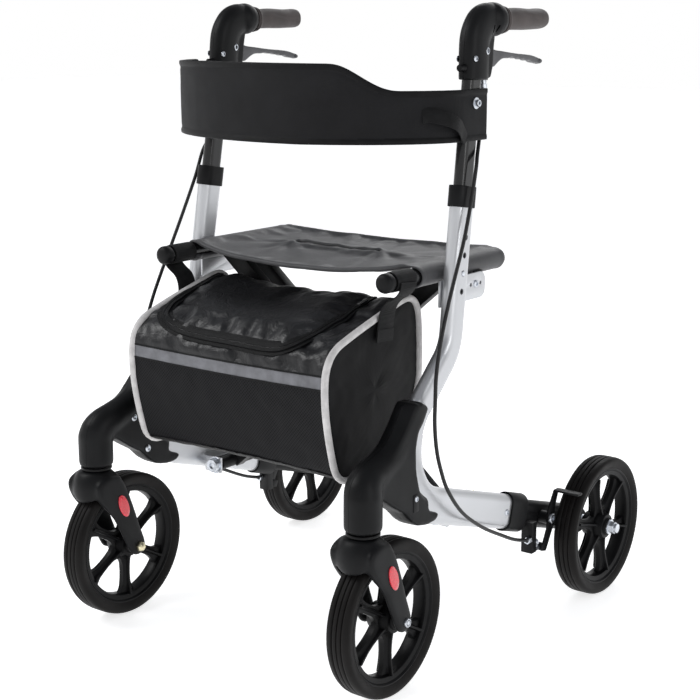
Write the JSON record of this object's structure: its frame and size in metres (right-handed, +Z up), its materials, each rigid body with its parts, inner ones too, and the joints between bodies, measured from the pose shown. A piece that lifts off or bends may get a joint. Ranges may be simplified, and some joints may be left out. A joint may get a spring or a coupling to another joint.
{
  "type": "rollator walker",
  "caption": "Folding side-fold rollator walker with swivelling front casters, rear hand brakes, height-adjustable handles, sling seat, storage bag and backrest strap.",
  "frame": {"origin": "on the floor, under the middle of the whole walker", "axes": "+Z up; -Y is the way the walker rolls, away from the user; +X is the side on the right when it is seen from the front casters with -Y towards the viewer"},
  "size_m": [0.604, 0.665, 0.8386],
  "materials": {
    "frame_silver": "satin metallic silver",
    "black_tube": "gloss black",
    "black_plastic": "satin moulded",
    "grip": "matt soft grip",
    "lever": "satin dark grey",
    "zinc": "zinc plated",
    "tyre": "matt solid tyre",
    "rim": "satin moulded",
    "reflector": "gloss red",
    "cable": "satin cable jacket",
    "seat_fabric": "coated nylon",
    "bag_fabric": "nylon with mesh",
    "strap_fabric": "woven webbing"
  },
  "bodies": {
    "left_frame": {"left_side_frame": "frame_silver", "left_cover_outer": "black_plastic", "left_cover_inner": "black_plastic", "left_tube_sleeves": "black_plastic", "left_rear_leg": "black_tube", "left_bracket": "frame_silver", "left_seat_cradle": "black_plastic", "left_frame_screws": "zinc", "left_rear_axle": "zinc", "left_brake_cable": "cable"},
    "brace_a": {"brace_a": "black_tube", "right_seat_bar": "black_tube", "right_bar_knob": "black_plastic", "seat": "seat_fabric"},
    "brace_b": {"brace_b": "black_tube", "left_seat_bar": "black_tube", "left_bar_knob": "black_plastic"},
    "right_frame": {"right_side_frame": "frame_silver", "right_cover_outer": "black_plastic", "right_cover_inner": "black_plastic", "right_tube_sleeves": "black_plastic", "right_rear_leg": "black_tube", "right_bracket": "frame_silver", "right_seat_cradle": "black_plastic", "right_frame_screws": "zinc", "right_rear_axle": "zinc", "right_brake_cable": "cable"},
    "bag": {"bag": "bag_fabric"},
    "left_handle": {"left_inner_tube": "black_tube", "left_handle_outer": "black_plastic", "left_handle_inner": "black_plastic", "left_grip": "grip", "left_handle_screws": "zinc", "backrest": "strap_fabric"},
    "left_lever": {"left_brake_lever": "lever"},
    "left_button": {"left_snap_button": "zinc"},
    "left_caster": {"left_fork": "black_plastic", "left_reflectors": "reflector", "left_caster_bolts": "zinc"},
    "left_front_wheel": {"left_front_tyre": "tyre", "left_front_rim": "rim"},
    "left_rear_wheel": {"left_rear_tyre": "tyre", "left_rear_rim": "rim"},
    "left_brake": {"left_brake_arm": "black_tube"},
    "right_handle": {"right_inner_tube": "black_tube", "right_handle_outer": "black_plastic", "right_handle_inner": "black_plastic", "right_grip": "grip", "right_handle_screws": "zinc"},
    "right_lever": {"right_brake_lever": "lever"},
    "right_button": {"right_snap_button": "zinc"},
    "right_caster": {"right_fork": "black_plastic", "right_reflectors": "reflector", "right_caster_bolts": "zinc"},
    "right_front_wheel": {"right_front_tyre": "tyre", "right_front_rim": "rim"},
    "right_rear_wheel": {"right_rear_tyre": "tyre", "right_rear_rim": "rim"},
    "right_brake": {"right_brake_arm": "black_tube"}
  },
  "joints": [
    {"name": "fold", "type": "hinge", "parent": "left_frame", "child": "brace_a", "pos_m": [-0.192, 0, 0.18], "axis": [0, -1, 0], "range_deg": [0, 34], "deforming": ["seat", "bag", "backrest"]},
    {"name": "brace_cross", "type": "hinge", "parent": "brace_a", "child": "brace_b", "pos_m": [0, 0, 0.34443], "axis": [0, -1, 0], "range_deg": [-68, 0]},
    {"name": "right_side_fold", "type": "hinge", "parent": "brace_b", "child": "right_frame", "pos_m": [0.192, 0, 0.18], "axis": [0, -1, 0], "range_deg": [0, 34]},
    {"name": "bag_hang", "type": "hinge", "parent": "brace_b", "child": "bag", "pos_m": [-0.184, 0, 0.502], "axis": [0, -1, 0], "range_deg": [0, 34]},
    {"name": "left_height", "type": "slide", "parent": "left_frame", "child": "left_handle", "axis": [0.0241, 0.1582, 0.9871], "range_m": [-0.0225, 0.0675], "deforming": ["left_snap_button", "left_brake_cable"]},
    {"name": "left_lever_pull", "type": "hinge", "parent": "left_handle", "child": "left_lever", "pos_m": [-0.20762, -0.0145, 0.77677], "axis": [0.9997, 0, -0.0244], "range_deg": [0, 12], "stiffness_Nm_per_rad": 2, "springref_deg": -11.46},
    {"name": "left_button_press", "type": "slide", "parent": "left_handle", "child": "left_button", "axis": [0.9997, 0, -0.0244], "range_m": [0, 0.004], "stiffness_N_per_m": 600, "springref_m": -0.002},
    {"name": "left_caster_swivel", "type": "hinge", "parent": "left_frame", "child": "left_caster", "pos_m": [-0.2255, -0.2785, 0.2], "axis": [0, 0, 1], "continuous": true},
    {"name": "left_front_wheel_spin", "type": "hinge", "parent": "left_caster", "child": "left_front_wheel", "pos_m": [-0.2255, -0.2325, 0.1], "axis": [1, 0, 0], "continuous": true},
    {"name": "left_rear_wheel_spin", "type": "hinge", "parent": "left_frame", "child": "left_rear_wheel", "pos_m": [-0.269, 0.2325, 0.1], "axis": [1, 0, 0], "continuous": true},
    {"name": "left_brake_pad", "type": "hinge", "parent": "left_frame", "child": "left_brake", "pos_m": [-0.248, 0.13, 0.133], "axis": [1, 0, 0], "range_deg": [-4.8, 0]},
    {"name": "right_height", "type": "slide", "parent": "right_frame", "child": "right_handle", "axis": [-0.0241, 0.1582, 0.9871], "range_m": [-0.0225, 0.0675], "deforming": ["right_snap_button", "right_brake_cable"]},
    {"name": "right_lever_pull", "type": "hinge", "parent": "right_handle", "child": "right_lever", "pos_m": [0.20762, -0.0145, 0.77677], "axis": [0.9997, 0, 0.0244], "range_deg": [0, 12], "stiffness_Nm_per_rad": 2, "springref_deg": -11.46},
    {"name": "right_button_press", "type": "slide", "parent": "right_handle", "child": "right_button", "axis": [-0.9997, 0, -0.0244], "range_m": [0, 0.004], "stiffness_N_per_m": 600, "springref_m": -0.002},
    {"name": "right_caster_swivel", "type": "hinge", "parent": "right_frame", "child": "right_caster", "pos_m": [0.2255, -0.2785, 0.2], "axis": [0, 0, 1], "continuous": true},
    {"name": "right_front_wheel_spin", "type": "hinge", "parent": "right_caster", "child": "right_front_wheel", "pos_m": [0.2255, -0.2325, 0.1], "axis": [1, 0, 0], "continuous": true},
    {"name": "right_rear_wheel_spin", "type": "hinge", "parent": "right_frame", "child": "right_rear_wheel", "pos_m": [0.269, 0.2325, 0.1], "axis": [1, 0, 0], "continuous": true},
    {"name": "right_brake_pad", "type": "hinge", "parent": "right_frame", "child": "right_brake", "pos_m": [0.248, 0.13, 0.133], "axis": [1, 0, 0], "range_deg": [-4.8, 0]}
  ],
  "couplings": [
    {"joint": "brace_cross", "follows": "fold", "ratio": -2},
    {"joint": "right_side_fold", "follows": "fold", "ratio": 1},
    {"joint": "bag_hang", "follows": "fold", "ratio": 1},
    {"joint": "left_brake_pad", "follows": "left_lever_pull", "ratio": -0.4},
    {"joint": "right_brake_pad", "follows": "right_lever_pull", "ratio": -0.4},
    {"joint": "right_height", "follows": "left_height", "ratio": 1}
  ]
}
